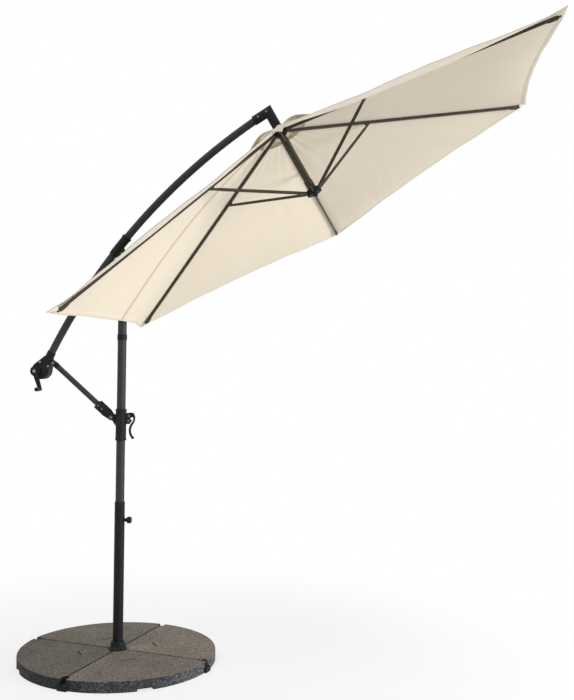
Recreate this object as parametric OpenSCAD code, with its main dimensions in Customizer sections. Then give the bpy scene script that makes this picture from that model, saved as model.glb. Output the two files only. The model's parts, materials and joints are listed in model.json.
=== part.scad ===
// Banana-arm patio umbrella on a round base of four weight plates.
// Millimetres, +Z up. The origin is on the post's axis at the ground, and the boom swings in the XZ plane.

/* [Base] */
// Outer radius of the round base
base_r = 500; // [440:5:560]
// Height of the weight plates
plate_h = 55; // [50:1:75]
// Gap between neighbouring plates
plate_gap = 8; // [5:1:12]
// Radius on the plates' top rim
plate_edge = 5; // [2:0.5:8]
// Width of the notch at the outer end of each gap
notch_w = 34; // [26:1:44]
// Depth of that notch
notch_d = 24; // [16:1:32]
// Distance of the hand grooves from the post
groove_at = 195; // [170:1:230]
// Length of a hand groove
groove_l = 80; // [60:1:100]
// Width of a hand groove
groove_w = 8; // [6:0.5:12]
// Depth of a hand groove
groove_d = 7; // [4:0.5:10]
// Width of the finger notch under each plate's rim
finger_w = 78; // [60:1:90]
// Height of the finger notch
finger_h = 14; // [10:1:18]
// Depth of the finger notch
finger_d = 30; // [20:1:40]
// Turn of the base cross from the boom's plane
base_turn = -13; // [-45:1:45]

/* [Cross frame] */
// Width of the steel arms
arm_w = 50; // [40:1:60]
// Height of the steel arms
arm_h = 25; // [20:1:28]
// Wall of the steel arms
arm_wall = 2; // [1.5:0.5:3]
// Length of the arms' end caps
cap_l = 8; // [5:1:12]

/* [Post] */
// Outer diameter of the lower post
low_od = 52; // [50:0.5:54]
// Outer diameter of the upper post
up_od = 45; // [43:0.5:46]
// Wall of both posts
post_wall = 2; // [1.5:0.1:2.4]
// Height of the lower post's top
low_top = 803; // [740:1:860]
// Depth of the upper post inside the lower one
overlap = 320; // [250:5:380]
// Height of the clamp knob
knob_z = 716; // [640:1:735]
// Radius of the clamp knob
knob_r = 17; // [14:0.5:20]
// Height of the collar on the upper post
collar_z = 1654; // [1600:1:1700]
// Height of the foot cover above the plates
cover_h = 40; // [30:1:60]

/* [Boom] */
// Height of the pin that carries the boom
pivot_z = 2078; // [2060:1:2100]
// Distance from that pin to the boom's centre line
boom_lift = 42; // [41:0.5:46]
// Radius of the boom's bend
boom_r = 3137; // [3050:1:3250]
// Outer diameter of the boom
boom_od = 38; // [36:0.5:39]
// Wall of the boom
boom_wall = 1.8; // [1.5:0.1:2.2]
// Slope of the boom over the pin
slope_pin = 51.5; // [51:0.1:52]
// Slope of the boom at its tail
slope_tail = 63.9; // [63.5:0.1:64.3]
// Slope of the boom at the elbow
slope_tip = 32.3; // [31.8:0.1:33]
// Length of the pivot saddle
saddle_l = 120; // [110:1:140]
// Outer diameter of the elbow
elbow_od = 49; // [47:0.5:52]
// Length of the elbow's sleeve on the boom
elbow_l = 88; // [75:1:100]

/* [Strut and slider] */
// Distance from the boom's centre line to the strut's upper pin
strut_out = 36; // [36:0.5:40]
// Distance between the strut's two pins
strut_l = 417; // [412:1:422]
// Outer diameter of the strut
strut_od = 28; // [25:0.5:30]
// Distance from the post's axis to the strut's lower pin
lug_out = 48; // [47:0.5:52]
// Outer diameter of the slider
slider_od = 54; // [52:0.5:57]
// Length of the slider above its pin
slider_up = 42; // [36:1:50]
// Length of the slider below its pin
slider_down = 118; // [110:1:130]
// Length of the strut's lower channel
channel_l = 102; // [98:1:130]
// Height of that channel
channel_h = 44; // [40:1:48]

/* [Crank] */
// Radius of the crank housing
house_r = 46; // [45:0.5:47]
// Half of the housing's thickness
house_t = 28; // [26:0.5:30]
// Wall of the housing
house_wall = 3; // [2:0.5:3.5]
// Core radius of the cord drum
drum_r = 13; // [10:0.5:14]
// Length of the crank's arm
crank_l = 98; // [80:1:115]
// Length of the crank's grip
grip_l = 58; // [45:1:75]

/* [Canopy frame] */
// Lean of the centre pole from upright
pole_tilt = 30; // [27:0.5:33]
// Distance from the elbow's corner to the crown hub
hub_down = 125; // [115:1:140]
// Outer diameter of the centre pole
pole_od = 38; // [36:0.5:39]
// Distance from the crown hub to the open runner
runner_down = 345; // [335:1:355]
// Slope of the open ribs
rib_slope = 15; // [14:0.25:16]
// Length of a rib from its pin
rib_l = 1455; // [1380:5:1470]
// Width of a rib
rib_w = 10; // [10:0.5:14]
// Height of a rib
rib_h = 14; // [13:0.5:20]
// Distance along the rib to the stretcher's pin
clip_at = 472; // [450:1:490]
// Width of a stretcher
stretcher_w = 8; // [6:0.5:9]
// Height of a stretcher
stretcher_h = 14; // [12:0.5:16]
// Radius of the ring of pins in the crown hub and the runner
pin_ring = 30; // [29:0.5:32]

/* [Canopy fabric] */
// Radius from the pole to a corner of the fabric
canopy_r = 1478; // [1465:1:1500]
// Hollow of the rim between two corners
rim_hollow = 32; // [20:1:60]
// Thickness of the fabric
fabric_t = 2; // [1.5:0.1:3]
// How far the rim bends in where it passes the post
post_bend = 93; // [90:1:110]
// How far the rim bends down there
post_drop = 90; // [85:1:105]
// How far the fabric sags between two ribs
canopy_sag = 30; // [0:1:50]
// Radius of the vent opening
vent_hole = 130; // [110:1:150]
// Radius from the pole to a corner of the vent cap
vent_r = 222; // [200:1:240]
// Lift of the vent cap between its corners
vent_lift = 34; // [20:1:45]

/* [Hidden] */
$fn = 48;
EPS = 0.01;
SIDES = 6;
HALF = 180 / SIDES;
ARC_FN = 1080;

// Fits and clearances
running = 0.08;
seat = 0.3;
side_gap = 0.5;
hair = 0.15;

// Base
arm_gap = 2;
flange_w = 150;
flange_t = 6;
bolt_at = 58;
bolt_r = 5;
arm_l = base_r + 4;
post_foot = arm_h + flange_t;
socket_wall = 4;
socket_h = 62;
cover_wall = 3;

// Posts
low_r = low_od / 2;
up_r = up_od / 2;
up_foot = low_top - overlap;
post_top = pivot_z - 32;
bush_h = 33;
bush_lip = 5;
knob_stem = 5;
boss_r = 9;
boss_out = 9;

// Boom: a point on its centre line follows from the slope there
bend_x = -boom_lift * sin(slope_pin) + boom_r * sin(slope_pin);
bend_z = pivot_z + boom_lift * cos(slope_pin) - boom_r * cos(slope_pin);
function boom_x(slope) = bend_x - boom_r * sin(slope);
function boom_z(slope) = bend_z + boom_r * cos(slope);
function slope_step(len) = len / boom_r * 180 / PI;
boom_rad = boom_od / 2;
pin_r = 5;
tongue_w = 16;
tongue_r = 15;
ear_t = 5;
saddle_wall = 4;
saddle_back = 35;
corner_x = boom_x(slope_tip);
corner_z = boom_z(slope_tip);
hub_x = corner_x + hub_down * sin(pole_tilt);
hub_z = corner_z - hub_down * cos(pole_tilt);
elbow_r = elbow_od / 2;
pulley_r = 8;
pulley_in = 10;
pulley_w = 10;
pulley_axle = 3;
pole_tuck = 30;
elbow_bolt_back = 58;
bolt_head_r = 6;
pad_r = bolt_head_r + seat;
pad_t = 0.6;
pulley_x = corner_x - pulley_in * cos(slope_tip);
pulley_z = corner_z - pulley_in * sin(slope_tip);

// Strut and slider
strut_x = boom_x(slope_tail) + strut_out * sin(slope_tail);
strut_z = boom_z(slope_tail) - strut_out * cos(slope_tail);
lug_z = strut_z - sqrt(strut_l ^ 2 - (strut_x + lug_out) ^ 2);
strut_lean = atan2(strut_z - lug_z, -lug_out - strut_x);
strut_r = strut_od / 2;
slider_r = slider_od / 2;
lug_t = 24;
lug_r = 15;
ear_half = 12;
cheek_t = 3.5;
cheek_r = 11.5;
channel_wall = 4;
channel_in = strut_r + seat;
fork_reach = 34;
plug_l = 36;
tube_stop = 52;
rivets = [[-90, 0], [-64, 0]];
rivet_r = 3;
lever_w = 10;
lever_t = 8.5;
bracket_t = 4;
lever_x = 45;
lever_up = 9;
low_bolt_x = 43;
low_bolt_down = 18;

// Crank housing, measured from the tail point along and across the boom
disc_back = 62;
disc_out = 4;
drum_back = 75;
drum_out = 22;
drum_half = 15;
drum_rim = 4.5;
lobe_r = boom_rad + house_wall;
shaft_r = 5;
grip_r = 10;
hub_disc_r = 27;
crank_lean = 72;
screw_places = [[-24, 25], [-24, -24]];
screw_r = 2.5;

// Canopy frame, in the pole's own frame with the crown hub at its origin
pole_r = pole_od / 2;
pole_wall = 2;
hub_r = pin_ring + 8;
hub_h = 24;
leg_l = hub_down - hub_h;
slot_gap = 1.2;
eye_r = 7;
rib_pin_r = 2;
clip_down = rib_h / 2 + 6;
runner_ring = pin_ring - 2;
runner_h = 28;
clip_x = pin_ring + clip_at * cos(rib_slope) - clip_down * sin(rib_slope);
clip_z = -clip_at * sin(rib_slope) - clip_down * cos(rib_slope);
stretcher_l = norm([clip_x - runner_ring, clip_z + runner_down]);
stretcher_lean = atan2(clip_z + runner_down, clip_x - runner_ring);
pole_end = runner_down - runner_h / 2 - seat;

// Canopy fabric
apothem = canopy_r * cos(HALF);
fabric_up = pin_ring * tan(rib_slope) + (rib_h / 2 + seat + fabric_t / 2) / cos(rib_slope)
    + rib_w / 2 * tan(rib_slope) * tan(HALF) + canopy_sag * 0.025;
RIM_STEPS = 16;
ROWS = 7;

STEEL = "#3b3c40";
PLASTIC = "#1f2023";
STONE = "#6f675c";
BRIGHT = "#b9bbbd";
FABRIC = "#efe2cb";
RIB = "#3a2f26";

// ---------- helpers ----------

// A tube standing on z = 0
module tube(r_out, r_in, h) difference() {
    cylinder(r = r_out, h = h);
    translate([0, 0, -1]) cylinder(r = r_in, h = h + 2);
}

// A flat outline in the XZ plane, given thickness from y0 to y1
module along_y(y0, y1) translate([0, y1, 0]) rotate([90, 0, 0]) linear_extrude(y1 - y0) children();

// A rod or bore along Y
module rod_y(r, y0, y1) along_y(y0, y1) circle(r = r);

// Two discs and the straight sides that join them, the second disc on +X.
// The sides start a hair inside the discs, so that they cross them and don't just touch.
module lobe(r1, r2, d) {
    in1 = r1 - hair;
    in2 = r2 - hair;
    a = acos((in1 - in2) / d);
    circle(r = r1);
    translate([d, 0]) circle(r = r2);
    polygon([in1 * [cos(a), sin(a)], in1 * [cos(a), -sin(a)],
        [d + in2 * cos(a), -in2 * sin(a)], [d + in2 * cos(a), in2 * sin(a)]]);
}

// The boom's own frame at one slope: +X runs up the boom, +Z points out of the bend
module at_boom(slope) translate([boom_x(slope), 0, boom_z(slope)]) rotate([0, -slope, 0]) children();

// A round bar bent like the boom, between two slopes
module boom_bar(r, slope_a, slope_b) translate([bend_x, 0, bend_z]) rotate([90, 0, 0])
    rotate([0, 0, 90 + slope_a]) rotate_extrude(angle = slope_b - slope_a, $fn = ARC_FN)
        translate([boom_r, 0]) circle(r = r, $fn = 48);

// The pole's frame: origin in the crown hub, +Z up the pole, +X away from the post
module at_hub() translate([hub_x, 0, hub_z]) rotate([0, -pole_tilt, 0]) children();

// The frame of rib k: origin on its pin, +X along the rib
function rib_turn(k) = -180 + HALF + 2 * HALF * (k - 1);
module at_rib(k) at_hub() rotate([0, 0, rib_turn(k)]) translate([pin_ring, 0, 0])
    rotate([0, rib_slope, 0]) children();

// ---------- base ----------

module cross_frame() color(STEEL) rotate([0, 0, base_turn]) difference() {
    for (a = [0, 90]) rotate([0, 0, a]) translate([-arm_l, -arm_w / 2, 0]) cube([2 * arm_l, arm_w, arm_h]);
    for (a = [0, 90]) rotate([0, 0, a]) translate([-arm_l - 1, -arm_w / 2 + arm_wall, arm_wall])
        cube([2 * arm_l + 2, arm_w - 2 * arm_wall, arm_h - 2 * arm_wall]);
    for (a = [0:90:270]) rotate([0, 0, a]) translate([bolt_at, 0, arm_h - arm_wall - 1])
        cylinder(r = bolt_r + running, h = arm_wall + 2);
}

module arm_caps() color(PLASTIC) rotate([0, 0, base_turn]) for (a = [0:90:270]) rotate([0, 0, a]) {
    translate([arm_l, -arm_w / 2, 0]) cube([cap_l, arm_w, arm_h]);
    translate([arm_l - 18, -arm_w / 2 + arm_wall + seat, arm_wall + seat])
        cube([18 + EPS, arm_w - 2 * (arm_wall + seat), arm_h - 2 * (arm_wall + seat)]);
}

module weight_plate(k) color(STONE) rotate([0, 0, base_turn + 90 * (k - 1)]) difference() {
    rotate_extrude(angle = 90, $fn = 180) difference() {
        square([base_r, plate_h]);
        translate([base_r - plate_edge, plate_h - plate_edge]) difference() {
            square(plate_edge + 1);
            circle(r = plate_edge);
        }
    }
    // straight sides, notched at the rim
    for (m = [0, 1]) mirror([m, -m, 0]) {
        translate([-1, -1, -1]) cube([base_r + 2, plate_gap / 2 + 1, plate_h + 2]);
        translate([base_r - notch_d, -1, -1]) cube([notch_d + 1, notch_w / 2 + 1, plate_h + 2]);
        translate([base_r - notch_d, 0, -1]) cylinder(r = notch_w / 2, h = plate_h + 2);
        // room for the arm below
        translate([-1, -1, -1]) cube([base_r + 2, arm_w / 2 + arm_gap + 1, arm_h + arm_gap + 1]);
    }
    // room for the flange, its bolts and the post
    translate([-1, -1, -1])
        cube([flange_w / 2 + arm_gap + 1, flange_w / 2 + arm_gap + 1, post_foot + 12]);
    translate([0, 0, -1]) cylinder(r = low_r + socket_wall + 3, h = plate_h + 2);
    // hand groove across the middle, and finger notch under the rim
    rotate([0, 0, 45]) {
        for (y = [-1, 1]) translate([groove_at, y * (groove_l - groove_w) / 2, plate_h - groove_d])
            cylinder(r = groove_w / 2, h = groove_d + 1);
        translate([groove_at - groove_w / 2, -(groove_l - groove_w) / 2, plate_h - groove_d])
            cube([groove_w, groove_l - groove_w, groove_d + 1]);
        translate([base_r - finger_d, -finger_w / 2, -1]) cube([finger_d + 1, finger_w, finger_h + 1]);
    }
}

module post_flange() color(STEEL) rotate([0, 0, base_turn]) translate([0, 0, arm_h]) difference() {
    union() {
        translate([-flange_w / 2, -flange_w / 2, 0]) cube([flange_w, flange_w, flange_t]);
        cylinder(r = low_r + socket_wall, h = socket_h);
    }
    translate([0, 0, flange_t]) cylinder(r = low_r + running, h = socket_h);
    translate([0, 0, -1]) cylinder(r = low_r - 8, h = flange_t + 2);
    for (a = [0:90:270]) rotate([0, 0, a]) translate([bolt_at, 0, -1])
        cylinder(r = bolt_r + running, h = flange_t + 2);
}

module flange_bolts() color(BRIGHT) rotate([0, 0, base_turn]) for (a = [0:90:270]) rotate([0, 0, a])
    translate([bolt_at, 0, 0]) {
        translate([0, 0, arm_h - 12]) cylinder(r = bolt_r, h = flange_t + 12 + EPS);
        translate([0, 0, post_foot]) cylinder(r = 8.5, h = 6, $fn = 6);
        translate([0, 0, arm_h - arm_wall - 6]) cylinder(r = 8.5, h = 6, $fn = 6);
    }

module foot_cover() color(PLASTIC) translate([0, 0, plate_h + seat]) rotate_extrude() {
    wide = low_r + 22;
    slim = low_r + socket_wall + 1;
    polygon([[slim + 2, 0], [wide, 0], [wide, 4], [slim + cover_wall + 4, cover_h * 0.45],
        [slim + cover_wall, cover_h], [low_r + seat, cover_h], [low_r + seat, cover_h - cover_wall],
        [slim, cover_h - cover_wall], [slim, cover_h * 0.5]]);
}

// ---------- posts ----------

module lower_post() color(STEEL) difference() {
    union() {
        translate([0, 0, post_foot]) cylinder(r = low_r, h = low_top - post_foot);
        translate([0, 0, knob_z]) rotate([0, 90, 0]) cylinder(r = boss_r, h = low_r + boss_out);
    }
    translate([0, 0, post_foot - 1]) cylinder(r = low_r - post_wall, h = low_top - post_foot + 2);
    translate([0, 0, knob_z]) rotate([0, 90, 0]) cylinder(r = knob_stem + running, h = low_r + boss_out + 1);
}

// Upper bush with a lip on the tube's edge, and a lower bush with a floor under the upper post
module post_bushes() color(PLASTIC) {
    bore = up_r + running;
    fit = low_r - post_wall - EPS;
    translate([0, 0, low_top - bush_h]) tube(fit, bore, bush_h + EPS);
    translate([0, 0, low_top]) tube(low_r, bore, bush_lip);
    translate([0, 0, up_foot - 6]) difference() {
        cylinder(r = fit, h = bush_h);
        translate([0, 0, 6 - seat]) cylinder(r = bore, h = bush_h);
        translate([0, 0, -1]) cylinder(r = up_r - 8, h = bush_h);
    }
}

module upper_post() color(STEEL) translate([0, 0, up_foot])
    tube(up_r, up_r - post_wall, post_top - up_foot);

module post_collar() color(PLASTIC) translate([0, 0, collar_z - 14]) {
    tube(up_r + 2.5, up_r, 28);
    for (a = [-90, 90]) rotate([0, 0, a]) translate([up_r + 2, 0, 14]) rotate([0, 90, 0])
        cylinder(r = 4, h = 2);
}

module post_cap() color(PLASTIC) difference() {
    union() {
        translate([0, 0, post_top - 40]) cylinder(r = up_r - post_wall - EPS, h = 40 + EPS);
        translate([0, 0, post_top]) cylinder(r = up_r, h = 8);
        translate([-tongue_r, -tongue_w / 2, post_top]) cube([2 * tongue_r, tongue_w, pivot_z - post_top]);
        translate([0, 0, pivot_z]) rod_y(tongue_r, -tongue_w / 2, tongue_w / 2);
    }
    translate([0, 0, pivot_z]) rod_y(pin_r, -tongue_w, tongue_w);
}

module boom_pin() color(BRIGHT) translate([0, 0, pivot_z]) {
    face = tongue_w / 2 + side_gap + ear_t + seat;
    rod_y(pin_r, -face - EPS, face + EPS);
    for (s = [-1, 1]) translate([0, s * (face + 3), 0]) rotate([90, 30, 0])
        cylinder(r = 9, h = 6, center = true, $fn = 6);
}

module clamp_knob() color(PLASTIC) translate([0, 0, knob_z]) rotate([0, 90, 0]) {
    translate([0, 0, up_r + seat]) cylinder(r = knob_stem, h = low_r + boss_out - up_r + 4);
    translate([0, 0, low_r + boss_out + 1.5]) difference() {
        union() {
            cylinder(r = knob_r * 0.62, h = 7);
            translate([0, 0, 6]) cylinder(r = knob_r, h = 16);
            translate([0, 0, 22]) cylinder(r1 = knob_r, r2 = knob_r - 3, h = 3);
        }
        for (a = [0:60:300]) rotate([0, 0, a]) translate([knob_r + 3, 0, 5])
            cylinder(r = 5.5, h = 22, $fn = 32);
    }
}

// ---------- slider, lever and strut ----------

module slider_sleeve() color(PLASTIC) translate([0, 0, lug_z]) difference() {
    union() {
        translate([0, 0, -slider_down]) cylinder(r = slider_r, h = slider_down + slider_up);
        for (z = [-slider_down, slider_up - 9]) translate([0, 0, z]) cylinder(r = slider_r + 1.5, h = 9);
        translate([-lug_out, 0, 0]) rod_y(lug_r, -lug_t / 2, lug_t / 2);
        translate([-lug_out, -lug_t / 2, -lug_r]) cube([lug_out, lug_t, 2 * lug_r]);
        // strengthening web below the lug
        along_y(-4, 4) polygon([[-slider_r + 2, -lug_r - 34], [-slider_r + 2, 0], [-lug_out, -lug_r + 1]]);
    }
    translate([0, 0, -slider_down - 1]) cylinder(r = up_r + running, h = slider_down + slider_up + 2);
    translate([-lug_out, 0, 0]) rod_y(6, -lug_t, lug_t);
}

// Two cheeks on the slider's far side that hold the lever
module lever_bracket() color(PLASTIC) translate([0, 0, lug_z]) difference() {
    inner = lever_w / 2 + side_gap;
    for (s = [-1, 1]) scale([1, s, 1]) along_y(inner, inner + bracket_t) difference() {
        union() {
            translate([slider_r - 6, -34]) square([lever_x - slider_r + 6, 56]);
            translate([lever_x, lever_up]) circle(r = 13);
            translate([low_bolt_x, -low_bolt_down]) circle(r = 11);
        }
        translate([lever_x, lever_up]) circle(r = 3.5);
        translate([low_bolt_x, -low_bolt_down]) circle(r = 3.5);
    }
    translate([0, 0, -60]) cylinder(r = slider_r, h = 120);
}

module bracket_bolts() color(BRIGHT) translate([0, 0, lug_z])
    for (p = [[lever_x, lever_up], [low_bolt_x, -low_bolt_down]]) translate([p[0], 0, p[1]]) {
        out = lever_w / 2 + side_gap + bracket_t;
        rod_y(3.5, -out - EPS, out + EPS);
        for (s = [-1, 1]) rod_y(6.5, s * (out + 2) - 2, s * (out + 2) + 2);
    }

// Cam and a handle in two opposite bends
module slider_lever() color(PLASTIC) translate([0, 0, lug_z]) difference() {
    first_r = 40;
    second_r = 55;
    first = [30, -5];
    turn = 40;
    second = first + (first_r + second_r) * [cos(turn), -sin(turn)];
    w = lever_w;
    union() {
        translate([lever_x, 0, lever_up]) rod_y(11, -w / 2, w / 2);
        along_y(-w / 2, w / 2) polygon([[lever_x - 2, lever_up + 10], [lever_x - 4, lever_up + 16],
            [lever_x + 12, lever_up + 15], [lever_x + 23, lever_up - 8], [lever_x + 10, lever_up - 8]]);
        translate([first[0], 0, first[1]]) rotate([90, 0, 0]) rotate([0, 0, -turn])
            rotate_extrude(angle = turn + 44, $fn = 180) translate([first_r, 0])
                square([lever_t, w], center = true);
        translate([second[0], 0, second[1]]) rotate([90, 0, 0]) rotate([0, 0, 179 - turn])
            rotate_extrude(angle = 85, $fn = 180) translate([second_r, 0])
                square([lever_t + 1.5, w], center = true);
        translate([second[0] - second_r * cos(44), 0, second[1] - second_r * sin(44)])
            rod_y(lever_t / 2 + 2, -w / 2 - 1, w / 2 + 1);
    }
    translate([lever_x, 0, lever_up]) rod_y(3.5 + running, -w, w);
    translate([low_bolt_x, 0, -low_bolt_down]) rod_y(8, -w, w);
}

// The strut's frame: origin on its upper pin, +X down the strut
module at_strut() translate([strut_x, 0, strut_z]) rotate([0, strut_lean, 0]) children();

module strut_tube() color(STEEL) at_strut() difference() {
    translate([fork_reach, 0, 0]) rotate([0, 90, 0])
        tube(strut_r, strut_r - post_wall, strut_l - fork_reach - tube_stop);
    for (p = rivets) translate([strut_l + p[0], 0, 0]) rod_y(rivet_r, -strut_od, strut_od);
}

// Plug in the tube's upper end with two cheeks for the pin
module strut_fork() color(PLASTIC) at_strut() difference() {
    inner = ear_half + side_gap;
    union() {
        for (s = [-1, 1]) scale([1, s, 1]) along_y(inner, inner + cheek_t) {
            circle(r = cheek_r);
            translate([0, -cheek_r]) square([fork_reach, 2 * cheek_r]);
        }
        translate([fork_reach - 8, -inner - EPS, -cheek_r]) cube([8, 2 * inner + 2 * EPS, 2 * cheek_r]);
        translate([fork_reach - 1, 0, 0]) rotate([0, 90, 0])
            cylinder(r = strut_r - post_wall - EPS, h = plug_l);
    }
    rod_y(pin_r + running, -40, 40);
}

// Channel riveted round the tube's lower end, open towards the post
module strut_channel() color(PLASTIC) at_strut() translate([strut_l, 0, 0]) difference() {
    half = channel_h / 2;
    union() {
        for (s = [-1, 1]) scale([1, s, 1]) along_y(channel_in, channel_in + channel_wall) {
            circle(r = 16);
            polygon([[-channel_l, -half], [-channel_l, half], [-34, half], [6, 14], [6, -14], [-34, -half]]);
        }
        translate([-channel_l, -channel_in - EPS, -half])
            cube([channel_l - tube_stop, 2 * channel_in + 2 * EPS, channel_wall]);
    }
    for (p = rivets) translate([p[0], 0, 0]) rod_y(rivet_r, -40, 40);
}

// Two rivets through the tube, and the heads of the lower pin on the cheeks
module channel_bolts() color(BRIGHT) at_strut() translate([strut_l, 0, 0]) {
    out = channel_in + channel_wall;
    for (p = rivets) translate([p[0], 0, 0]) {
        rod_y(rivet_r, -out - EPS, out + EPS);
        for (s = [-1, 1]) rod_y(5.5, s * (out + 1.5) - 1.5, s * (out + 1.5) + 1.5);
    }
    for (s = [-1, 1]) rod_y(9, s * (out + 2) - 2, s * (out + 2) + 2);
}

// ---------- boom ----------

boom_start = slope_tail + slope_step(30);
boom_stop = slope_tip + slope_step(16);

module boom_tube() color(STEEL) difference() {
    boom_bar(boom_rad, boom_stop, boom_start);
    boom_bar(boom_rad - boom_wall, boom_stop - 1, boom_start + 1);
}

module boom_saddle() color(PLASTIC) difference() {
    up = slope_step(saddle_l - saddle_back);
    back = slope_step(saddle_back);
    inner = tongue_w / 2 + side_gap;
    union() {
        boom_bar(boom_rad + saddle_wall, slope_pin - up, slope_pin + back);
        boom_bar(boom_rad + saddle_wall + 2, slope_pin - up, slope_pin - up + slope_step(16));
        at_boom(slope_pin) for (s = [-1, 1]) scale([1, s, 1]) along_y(inner, inner + ear_t) {
            translate([0, -boom_lift]) circle(r = 14);
            polygon([[-14, -boom_lift], [14, -boom_lift], [30, -boom_rad - 1], [30, -boom_rad + 8],
                [-30, -boom_rad + 8], [-30, -boom_rad - 1]]);
        }
    }
    boom_bar(boom_rad, slope_pin - 2 * up, slope_pin + 2 * up);
    at_boom(slope_pin) translate([0, 0, -boom_lift]) rod_y(pin_r + running, -40, 40);
}

// Outline of the crank housing in the boom's frame at the tail
module house_outline(grow) {
    turn = atan2(disc_out, -disc_back);
    rotate([0, 0, turn]) lobe(lobe_r + grow, house_r + grow, norm([disc_back, disc_out]));
}

module housing_half(s) color(PLASTIC) difference() {
    union() {
        at_boom(slope_tail) scale([1, s, 1]) {
            along_y(EPS, house_t) house_outline(0);
            along_y(EPS, ear_half) rotate([0, 0, -90]) lobe(lobe_r - 4, cheek_r, strut_out);
        }
        // collar round the boom
        intersection() {
            boom_bar(lobe_r, slope_tail - slope_step(46), slope_tail);
            translate([-1000, s > 0 ? EPS : -100 - EPS, 1000]) cube([1000, 100, 1000]);
        }
    }
    // drum chamber, boom, shaft and bolts
    at_boom(slope_tail) {
        translate([-disc_back, 0, disc_out]) rod_y(house_r - house_wall, -house_t + 4, house_t - 4);
        translate([-drum_back, 0, drum_out]) rod_y(shaft_r + running, -50, 50);
        translate([0, 0, -strut_out]) rod_y(pin_r, -50, 50);
        for (p = screw_places) translate([p[0], 0, p[1]]) rod_y(screw_r, -50, 50);
    }
    boom_bar(boom_rad, slope_tail - 1, boom_start + slope_step(seat));
}

module housing_screws() color(BRIGHT) at_boom(slope_tail) for (p = screw_places)
    translate([p[0], 0, p[1]]) {
        rod_y(screw_r, -house_t - EPS, house_t - 8);
        rod_y(2 * screw_r, -house_t - 2.5, -house_t);
    }

// Pin of the strut, with a head at each side of its fork
module strut_bolt() color(BRIGHT) at_boom(slope_tail) translate([0, 0, -strut_out]) {
    out = ear_half + side_gap + cheek_t + seat;
    rod_y(pin_r, -out - EPS, out + EPS);
    for (s = [-1, 1]) rod_y(9, s * (out + 2.5) - 2.5, s * (out + 2.5) + 2.5);
}

// Sleeve on the boom's tip and a leg round the pole, meeting in a mitre
module elbow() color(PLASTIC) {
    // direction along the boom's tip and down the pole, and the mitre between them
    along = slope_tip;
    down = -(90 - pole_tilt);
    mid = (along + down) / 2;
    difference() {
        union() {
            intersection() {
                translate([corner_x, 0, corner_z]) rotate([0, 90 - along, 0])
                    translate([0, 0, -elbow_l]) cylinder(r = elbow_r, h = elbow_l + 60);
                translate([corner_x, 0, corner_z]) rotate([0, -mid, 0])
                    translate([-400, -100, -200]) cube([400, 200, 400]);
            }
            intersection() {
                translate([corner_x, 0, corner_z]) rotate([0, 90 - down, 0])
                    translate([0, 0, -60]) cylinder(r = elbow_r, h = leg_l + 60);
                translate([corner_x, 0, corner_z]) rotate([0, -mid, 0])
                    translate([0, -100, -200]) cube([400, 200, 400]);
            }
            // flat pads under the bolts' heads
            translate([pulley_x, 0, pulley_z]) rod_y(pad_r, -elbow_r - pad_t, elbow_r + pad_t);
            at_boom(slope_tip + slope_step(elbow_bolt_back)) rod_y(pad_r, -elbow_r - pad_t, elbow_r + pad_t);
        }
        boom_bar(boom_rad, boom_stop, boom_stop + 4);
        boom_bar(boom_rad - boom_wall, slope_tip, boom_stop + 1);
        at_hub() translate([0, 0, hub_down - pole_tuck - 1]) cylinder(r = pole_r - pole_wall, h = pole_tuck + 1);
        at_hub() cylinder(r = pole_r, h = hub_down - pole_tuck);
        translate([pulley_x, 0, pulley_z]) rod_y(pulley_r + 1.5, -pulley_w / 2 - 1, pulley_w / 2 + 1);
        translate([pulley_x, 0, pulley_z]) rod_y(pulley_axle, -elbow_od, elbow_od);
        at_boom(slope_tip + slope_step(elbow_bolt_back)) rod_y(pulley_axle, -elbow_od, elbow_od);
    }
}

// One bolt holds the boom, the other is the pulley's axle
module elbow_bolts() color(BRIGHT) {
    head = elbow_r + pad_t + 2;
    for (s = [-1, 1]) {
        translate([pulley_x, 0, pulley_z]) rod_y(bolt_head_r, s * head - 2, s * head + 2);
        at_boom(slope_tip + slope_step(elbow_bolt_back)) rod_y(bolt_head_r, s * head - 2, s * head + 2);
        at_boom(slope_tip + slope_step(elbow_bolt_back))
            rod_y(pulley_axle, s > 0 ? boom_rad + EPS : -head, s > 0 ? head : -boom_rad - EPS);
    }
    translate([pulley_x, 0, pulley_z]) rod_y(pulley_axle, -elbow_r, elbow_r);
}

module cord_pulley() color(BRIGHT) translate([pulley_x, 0, pulley_z]) rotate([90, 0, 0])
    translate([0, 0, -pulley_w / 2]) rotate_extrude() difference() {
        translate([pulley_axle + running, 0]) square([pulley_r - pulley_axle - running, pulley_w]);
        translate([pulley_r + 1.5, pulley_w / 2]) circle(r = 3);
    }

// ---------- crank ----------

module at_crank() at_boom(slope_tail) translate([-drum_back, 0, drum_out]) rotate([0, slope_tail, 0])
    children();

module cord_drum() color(PLASTIC) at_crank() {
    rod_y(shaft_r, -house_t - 6, house_t - 2);
    rod_y(drum_r, -drum_half, drum_half);
    for (s = [-1, 1]) rod_y(drum_r + drum_rim, s * (drum_half + 1.5) - 1.5, s * (drum_half + 1.5) + 1.5);
}

module crank_handle() color(PLASTIC) at_crank() {
    near = -house_t - 4;
    difference() {
        union() {
            rod_y(hub_disc_r, near - 10, near);
            rod_y(hub_disc_r - 6, near - 12, near);
        }
        rod_y(shaft_r, near - 6, near + 1);
        rod_y(3, near - 20, near + 1);
    }
    along_y(near - 20, near - 11) difference() {
        rotate([0, 0, -crank_lean]) lobe(14, 9, crank_l);
        circle(r = 3);
    }
    translate([crank_l * cos(crank_lean), near - 19, -crank_l * sin(crank_lean)]) rotate([90, 0, 0])
        rotate_extrude() polygon([[0, 0], [grip_r - 3, 0], [grip_r - 3, 6], [grip_r, 13],
            [grip_r, grip_l - 8], [grip_r - 4, grip_l], [0, grip_l]]);
}

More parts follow.
